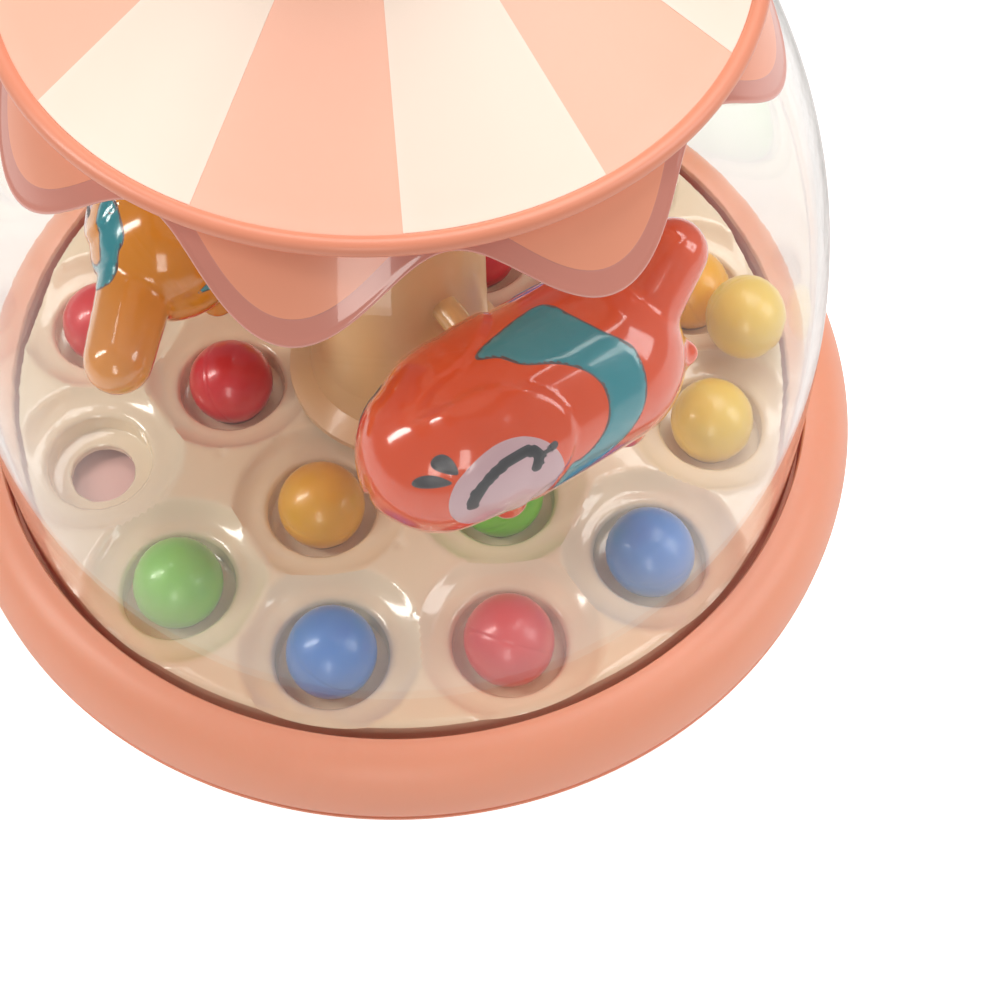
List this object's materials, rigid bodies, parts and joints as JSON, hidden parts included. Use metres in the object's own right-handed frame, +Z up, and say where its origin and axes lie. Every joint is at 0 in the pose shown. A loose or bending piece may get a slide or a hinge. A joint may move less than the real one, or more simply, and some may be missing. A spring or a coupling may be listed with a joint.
{
  "type": "carousel music box",
  "caption": "Press-and-spin toy carousel music box: striped roof with a scalloped skirt, clear dome, spinning ponies and a tray of hopping balls.",
  "frame": {"origin": "on the table under the middle of the base, at the bottom of the rubber feet", "axes": "+Z up along the spindle, -Y towards the front between two ponies, +X to the right"},
  "size_m": [0.21, 0.21, 0.2359],
  "materials": {
    "salmon": "satin moulded",
    "rose": "satin moulded",
    "ivory": "satin moulded",
    "cream": "high gloss",
    "clear": "clear moulded plastic",
    "pink": "satin",
    "gold": "high gloss",
    "orange": "high gloss",
    "blush": "high gloss",
    "teal": "high gloss",
    "white_plastic": "slippery white",
    "blue_plastic": "matte",
    "coral_plastic": "matte",
    "steel": "drawn wire and turned pins",
    "zinc": "zinc plated",
    "rubber": "soft",
    "black_plastic": "matte",
    "board_green": "solder resist",
    "cell_green": "plain wrapped",
    "ball_yellow": "satin",
    "ball_amber": "satin",
    "ball_green": "satin",
    "ball_blue": "satin",
    "ball_coral": "satin",
    "ball_red": "satin"
  },
  "bodies": {
    "base": {"base_tub": "salmon", "base_ring": "salmon", "rubber_feet": "rubber", "base_screws": "zinc", "ball_tray": "cream", "clear_dome": "clear", "roof_cone": "rose", "roof_panels": "ivory", "scallop_skirt": "salmon", "roof_deck": "ivory", "deck_screws": "zinc", "top_bush": "white_plastic", "axle": "steel", "battery_box": "black_plastic", "batteries": "cell_green", "battery_contacts": "steel", "speaker": "black_plastic", "circuit_board": "board_green"},
    "carousel": {"kicker_disc": "pink", "column": "gold", "lower_bush": "white_plastic", "ratchet_ring": "white_plastic", "pony_arms": "gold", "pony_orange": "orange", "pony_amber": "gold", "pony_pink": "blush", "mane_orange": "teal", "mane_amber": "teal", "mane_pink": "ivory"},
    "press_knob": {"knob_cap": "teal", "knob_stem": "ivory", "twist_rod": "steel", "return_spring": "steel"},
    "drive_nut": {"drive_nut": "blue_plastic", "clutch_pawls": "coral_plastic"},
    "power_switch": {"power_switch": "black_plastic"},
    "battery_door": {"battery_door": "salmon", "door_screw": "zinc"},
    "ball_outer_1": {"ball_outer_1": "ball_yellow"},
    "ball_outer_2": {"ball_outer_2": "ball_amber"},
    "ball_outer_3": {"ball_outer_3": "ball_green"},
    "ball_outer_4": {"ball_outer_4": "ball_blue"},
    "ball_outer_5": {"ball_outer_5": "ball_coral"},
    "ball_outer_6": {"ball_outer_6": "ball_yellow"},
    "ball_outer_7": {"ball_outer_7": "ball_red"},
    "ball_outer_8": {"ball_outer_8": "ball_yellow"},
    "ball_outer_9": {"ball_outer_9": "ball_green"},
    "ball_outer_10": {"ball_outer_10": "ball_blue"},
    "ball_outer_11": {"ball_outer_11": "ball_coral"},
    "ball_outer_12": {"ball_outer_12": "ball_blue"},
    "ball_inner_1": {"ball_inner_1": "ball_green"},
    "ball_inner_2": {"ball_inner_2": "ball_blue"},
    "ball_inner_3": {"ball_inner_3": "ball_coral"},
    "ball_inner_4": {"ball_inner_4": "ball_yellow"},
    "ball_inner_5": {"ball_inner_5": "ball_red"},
    "ball_inner_6": {"ball_inner_6": "ball_amber"}
  },
  "joints": [
    {"name": "carousel_spin", "type": "hinge", "parent": "base", "child": "carousel", "pos_m": [0, 0, 0.03], "axis": [0, 0, 1], "continuous": true},
    {"name": "knob_press", "type": "slide", "parent": "base", "child": "press_knob", "axis": [0, 0, -1], "range_m": [0, 0.022], "stiffness_N_per_m": 220, "springref_m": -0.012, "deforming": ["return_spring"]},
    {"name": "nut_turn", "type": "hinge", "parent": "base", "child": "drive_nut", "pos_m": [0, 0, 0.1112], "axis": [0, 0, 1], "range_deg": [0, 132.01]},
    {"name": "switch_slide", "type": "slide", "parent": "base", "child": "power_switch", "axis": [1, 0, 0], "range_m": [0, 0.004]},
    {"name": "battery_door_lift", "type": "slide", "parent": "base", "child": "battery_door", "axis": [0, 0, -1], "range_m": [0, 0.015]},
    {"name": "ball_outer_1_hop", "type": "slide", "parent": "base", "child": "ball_outer_1", "axis": [0, 0, 1], "range_m": [0, 0.012]},
    {"name": "ball_outer_2_hop", "type": "slide", "parent": "base", "child": "ball_outer_2", "axis": [0, 0, 1], "range_m": [0, 0.012]},
    {"name": "ball_outer_3_hop", "type": "slide", "parent": "base", "child": "ball_outer_3", "axis": [0, 0, 1], "range_m": [0, 0.012]},
    {"name": "ball_outer_4_hop", "type": "slide", "parent": "base", "child": "ball_outer_4", "axis": [0, 0, 1], "range_m": [0, 0.012]},
    {"name": "ball_outer_5_hop", "type": "slide", "parent": "base", "child": "ball_outer_5", "axis": [0, 0, 1], "range_m": [0, 0.012]},
    {"name": "ball_outer_6_hop", "type": "slide", "parent": "base", "child": "ball_outer_6", "axis": [0, 0, 1], "range_m": [0, 0.012]},
    {"name": "ball_outer_7_hop", "type": "slide", "parent": "base", "child": "ball_outer_7", "axis": [0, 0, 1], "range_m": [0, 0.012]},
    {"name": "ball_outer_8_hop", "type": "slide", "parent": "base", "child": "ball_outer_8", "axis": [0, 0, 1], "range_m": [0, 0.012]},
    {"name": "ball_outer_9_hop", "type": "slide", "parent": "base", "child": "ball_outer_9", "axis": [0, 0, 1], "range_m": [0, 0.012]},
    {"name": "ball_outer_10_hop", "type": "slide", "parent": "base", "child": "ball_outer_10", "axis": [0, 0, 1], "range_m": [0, 0.012]},
    {"name": "ball_outer_11_hop", "type": "slide", "parent": "base", "child": "ball_outer_11", "axis": [0, 0, 1], "range_m": [0, 0.012]},
    {"name": "ball_outer_12_hop", "type": "slide", "parent": "base", "child": "ball_outer_12", "axis": [0, 0, 1], "range_m": [0, 0.012]},
    {"name": "ball_inner_1_hop", "type": "slide", "parent": "base", "child": "ball_inner_1", "axis": [0, 0, 1], "range_m": [0, 0.012]},
    {"name": "ball_inner_2_hop", "type": "slide", "parent": "base", "child": "ball_inner_2", "axis": [0, 0, 1], "range_m": [0, 0.012]},
    {"name": "ball_inner_3_hop", "type": "slide", "parent": "base", "child": "ball_inner_3", "axis": [0, 0, 1], "range_m": [0, 0.012]},
    {"name": "ball_inner_4_hop", "type": "slide", "parent": "base", "child": "ball_inner_4", "axis": [0, 0, 1], "range_m": [0, 0.012]},
    {"name": "ball_inner_5_hop", "type": "slide", "parent": "base", "child": "ball_inner_5", "axis": [0, 0, 1], "range_m": [0, 0.012]},
    {"name": "ball_inner_6_hop", "type": "slide", "parent": "base", "child": "ball_inner_6", "axis": [0, 0, 1], "range_m": [0, 0.012]}
  ],
  "couplings": [
    {"joint": "nut_turn", "follows": "knob_press", "rad_per_m": 104.72},
    {"joint": "ball_outer_3_hop", "follows": "ball_outer_1_hop", "ratio": 1},
    {"joint": "ball_outer_4_hop", "follows": "ball_outer_2_hop", "ratio": 1},
    {"joint": "ball_outer_5_hop", "follows": "ball_outer_1_hop", "ratio": 1},
    {"joint": "ball_outer_6_hop", "follows": "ball_outer_2_hop", "ratio": 1},
    {"joint": "ball_outer_7_hop", "follows": "ball_outer_1_hop", "ratio": 1},
    {"joint": "ball_outer_9_hop", "follows": "ball_outer_1_hop", "ratio": 1},
    {"joint": "ball_outer_10_hop", "follows": "ball_outer_2_hop", "ratio": 1},
    {"joint": "ball_outer_11_hop", "follows": "ball_outer_1_hop", "ratio": 1},
    {"joint": "ball_outer_12_hop", "follows": "ball_outer_2_hop", "ratio": 1},
    {"joint": "ball_inner_2_hop", "follows": "ball_inner_1_hop", "ratio": 1},
    {"joint": "ball_inner_3_hop", "follows": "ball_inner_1_hop", "ratio": 1},
    {"joint": "ball_inner_4_hop", "follows": "ball_inner_1_hop", "ratio": 1},
    {"joint": "ball_inner_5_hop", "follows": "ball_inner_1_hop", "ratio": 1},
    {"joint": "ball_inner_6_hop", "follows": "ball_inner_1_hop", "ratio": 1}
  ]
}
